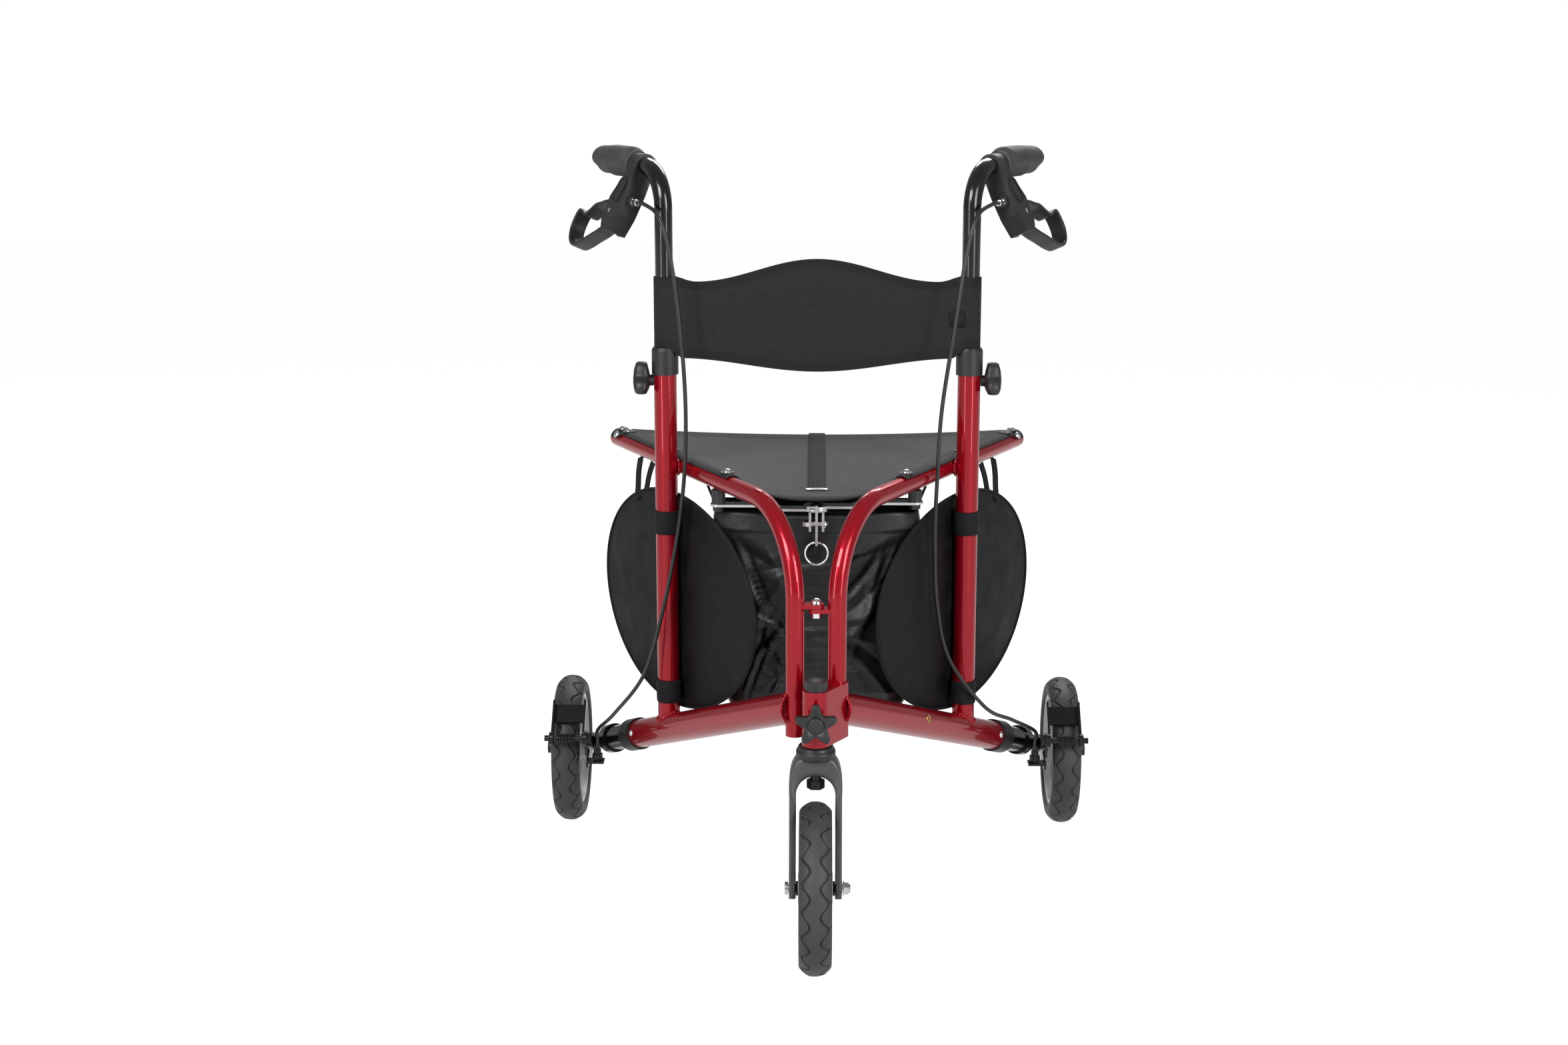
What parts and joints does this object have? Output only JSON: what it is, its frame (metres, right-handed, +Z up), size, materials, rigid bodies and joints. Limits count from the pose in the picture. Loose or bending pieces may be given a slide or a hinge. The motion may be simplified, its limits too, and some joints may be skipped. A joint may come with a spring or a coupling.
{
  "type": "three wheel rollator",
  "caption": "Folding three wheel walking aid with a caster fork, hinged frame halves, height-adjustable handles, loop brakes, seat, backrest band, bag and side panels.",
  "frame": {"origin": "on the floor, midway between the front and rear axles and between the rear wheels", "axes": "+X to the half that carries the caster head, +Y to the rear, +Z up"},
  "size_m": [0.7428, 0.712, 0.926],
  "materials": {
    "red_paint": "candy red gloss",
    "black_paint": "gloss black",
    "black_plastic": "satin",
    "grip_rubber": "matt",
    "bright_steel": "bright plated",
    "dark_steel": "dark plated",
    "tyre_rubber": "matt",
    "rim_plastic": "silver gloss",
    "cloth": "woven",
    "cable_sheath": "satin"
  },
  "bodies": {
    "right_frame": {"right_rail_tube": "red_paint", "right_bottom_tube": "red_paint", "right_upright": "red_paint", "head_tube": "red_paint", "stem_bushes": "dark_steel", "stem_cap": "black_plastic", "hinge_bolts": "bright_steel", "right_rear_leg": "black_paint", "right_collars": "black_plastic", "right_brake_bracket": "black_paint", "right_wheel_axle": "dark_steel", "right_side_panel": "cloth", "right_seat_rivets": "bright_steel", "right_cable": "cable_sheath", "seat": "cloth", "backrest": "cloth", "bag": "cloth"},
    "left_frame": {"left_rail_tube": "red_paint", "left_bottom_tube": "red_paint", "left_upright": "red_paint", "left_rear_leg": "black_paint", "left_collars": "black_plastic", "left_brake_bracket": "black_paint", "left_wheel_axle": "dark_steel", "left_side_panel": "cloth", "left_seat_rivets": "bright_steel", "left_cable": "cable_sheath", "left_link_bolt": "dark_steel"},
    "left_link": {"left_link": "bright_steel", "centre_pivot": "dark_steel", "lock_bolt": "bright_steel"},
    "right_link": {"right_link": "bright_steel", "right_link_bolt": "dark_steel"},
    "lock": {"lock_lever": "bright_steel", "pull_ring": "bright_steel"},
    "fork": {"fork": "black_plastic", "stem_bolt": "dark_steel", "front_axle": "dark_steel"},
    "front_wheel": {"front_tyre": "tyre_rubber", "front_rim": "rim_plastic"},
    "right_wheel": {"right_tyre": "tyre_rubber", "right_rim": "rim_plastic"},
    "left_wheel": {"left_tyre": "tyre_rubber", "left_rim": "rim_plastic"},
    "right_handle": {"right_handle_tube": "black_paint", "right_grip": "grip_rubber", "right_brake_housing": "black_plastic", "right_brake_fittings": "bright_steel"},
    "left_handle": {"left_handle_tube": "black_paint", "left_grip": "grip_rubber", "left_brake_housing": "black_plastic", "left_brake_fittings": "bright_steel"},
    "right_lever": {"right_brake_lever": "black_plastic"},
    "left_lever": {"left_brake_lever": "black_plastic"},
    "right_arm": {"right_brake_arm": "black_paint"},
    "left_arm": {"left_brake_arm": "black_paint"},
    "right_knob": {"right_height_knob": "black_plastic"},
    "left_knob": {"left_height_knob": "black_plastic"},
    "front_knob": {"star_knob": "black_plastic"}
  },
  "joints": [
    {"name": "fold", "type": "hinge", "parent": "right_frame", "child": "left_frame", "pos_m": [0, -0.189, 0.358], "axis": [0, 0, -1], "range_deg": [0, 50], "deforming": ["seat", "backrest", "bag"]},
    {"name": "left_link_turn", "type": "hinge", "parent": "left_frame", "child": "left_link", "pos_m": [-0.121, 0.00039, 0.498], "axis": [0, 0, -1], "range_deg": [0, 50.84]},
    {"name": "centre_turn", "type": "hinge", "parent": "left_link", "child": "right_link", "pos_m": [0, 0.00039, 0.498], "axis": [0, 0, 1], "range_deg": [0, 151.67]},
    {"name": "lock_turn", "type": "hinge", "parent": "left_link", "child": "lock", "pos_m": [0, -0.01661, 0.479], "axis": [1, 0, 0], "range_deg": [0, 80.01]},
    {"name": "caster_swivel", "type": "hinge", "parent": "right_frame", "child": "fork", "pos_m": [0, -0.224, 0.262], "axis": [0, 0, 1], "continuous": true},
    {"name": "front_spin", "type": "hinge", "parent": "fork", "child": "front_wheel", "pos_m": [0, -0.256, 0.1], "axis": [1, 0, 0], "continuous": true},
    {"name": "right_spin", "type": "hinge", "parent": "right_frame", "child": "right_wheel", "pos_m": [0.338, 0.256, 0.1], "axis": [1, 0, 0], "continuous": true},
    {"name": "left_spin", "type": "hinge", "parent": "left_frame", "child": "left_wheel", "pos_m": [-0.338, 0.256, 0.1], "axis": [1, 0, 0], "continuous": true},
    {"name": "right_height", "type": "slide", "parent": "right_frame", "child": "right_handle", "axis": [0, 0, 1], "range_m": [-0.07, 0.05], "deforming": ["right_cable"]},
    {"name": "right_lever_turn", "type": "hinge", "parent": "right_handle", "child": "right_lever", "pos_m": [0.25167, 0.13803, 0.84471], "axis": [0.8066, -0.4289, 0.4067], "range_deg": [0, 15], "stiffness_Nm_per_rad": 1, "springref_deg": -11.46},
    {"name": "right_arm_turn", "type": "hinge", "parent": "right_frame", "child": "right_arm", "pos_m": [0.338, 0.15003, 0.14718], "axis": [-1, 0, 0], "range_deg": [0, 4.5]},
    {"name": "right_knob_turn", "type": "hinge", "parent": "right_frame", "child": "right_knob", "pos_m": [0.19041, 0.08, 0.642], "axis": [1, 0, 0], "range_deg": [0, 360]},
    {"name": "left_height", "type": "slide", "parent": "left_frame", "child": "left_handle", "axis": [0, 0, 1], "range_m": [-0.07, 0.05], "deforming": ["left_cable"]},
    {"name": "left_lever_turn", "type": "hinge", "parent": "left_handle", "child": "left_lever", "pos_m": [-0.25167, 0.13803, 0.84471], "axis": [0.8066, 0.4289, -0.4067], "range_deg": [0, 15], "stiffness_Nm_per_rad": 1, "springref_deg": -11.46},
    {"name": "left_arm_turn", "type": "hinge", "parent": "left_frame", "child": "left_arm", "pos_m": [-0.338, 0.15003, 0.14718], "axis": [-1, 0, 0], "range_deg": [0, 4.5]},
    {"name": "left_knob_turn", "type": "hinge", "parent": "left_frame", "child": "left_knob", "pos_m": [-0.19041, 0.08, 0.642], "axis": [1, 0, 0], "range_deg": [0, 360]},
    {"name": "front_knob_turn", "type": "hinge", "parent": "right_frame", "child": "front_knob", "pos_m": [0, -0.224, 0.295], "axis": [0, 1, 0], "range_deg": [0, 360]}
  ],
  "couplings": [
    {"joint": "left_link_turn", "follows": "fold", "ratio": 1.0166},
    {"joint": "centre_turn", "follows": "fold", "ratio": 3.0332},
    {"joint": "lock_turn", "follows": "fold", "ratio": 1.6},
    {"joint": "right_arm_turn", "follows": "right_lever_turn", "ratio": 0.3},
    {"joint": "left_arm_turn", "follows": "left_lever_turn", "ratio": 0.3}
  ]
}
